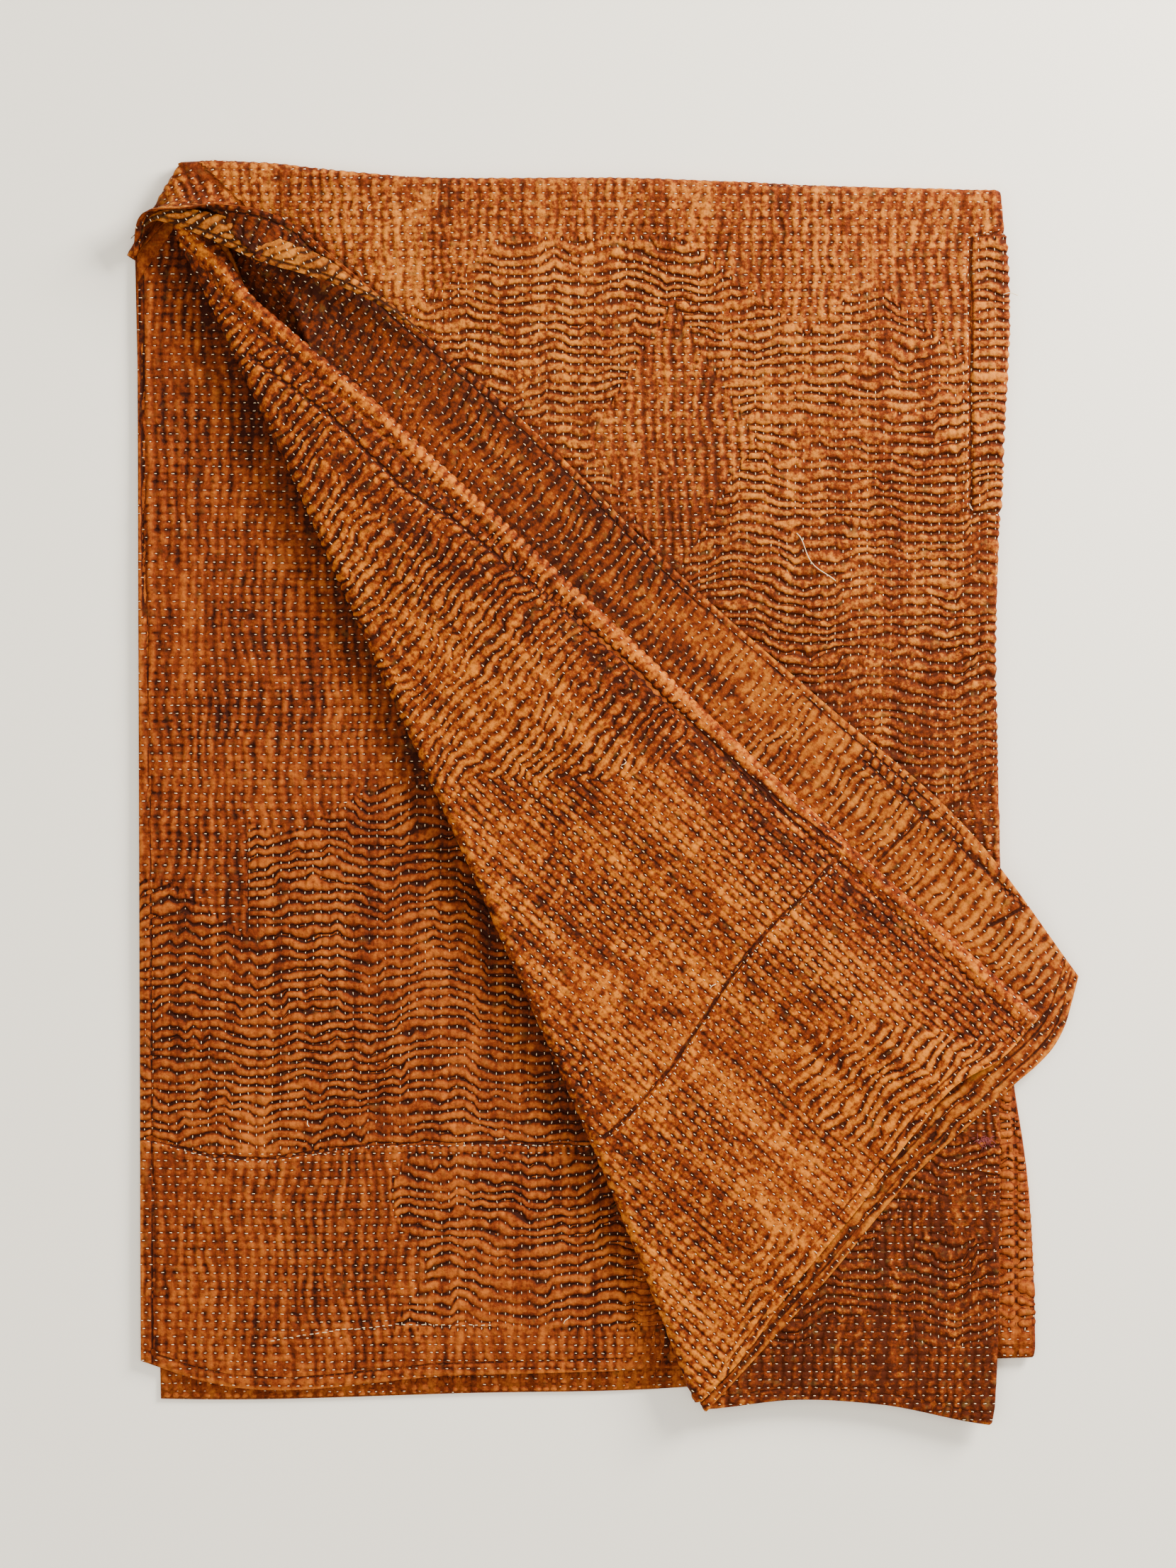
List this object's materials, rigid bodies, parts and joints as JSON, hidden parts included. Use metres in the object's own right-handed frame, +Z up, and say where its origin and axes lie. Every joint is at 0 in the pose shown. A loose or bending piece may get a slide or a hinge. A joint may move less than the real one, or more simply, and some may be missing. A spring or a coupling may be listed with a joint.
{
  "type": "throw blanket, folded",
  "caption": "Hand-quilted cotton throw blanket, one hemmed sheet folded in half both ways with its upper layers turned back across the front",
  "frame": {"origin": "the middle of the box of the folded throw, on the surface that it lies on", "axes": "+X across the folded stack, +Y along it towards the fold over its top edge, +Z up"},
  "size_m": [0.7744, 1.026, 0.0471],
  "materials": {
    "quilted_cotton": "matt puckered cotton with cream running stitches"
  },
  "bodies": {
    "root": {"throw": "quilted_cotton"}
  },
  "joints": []
}
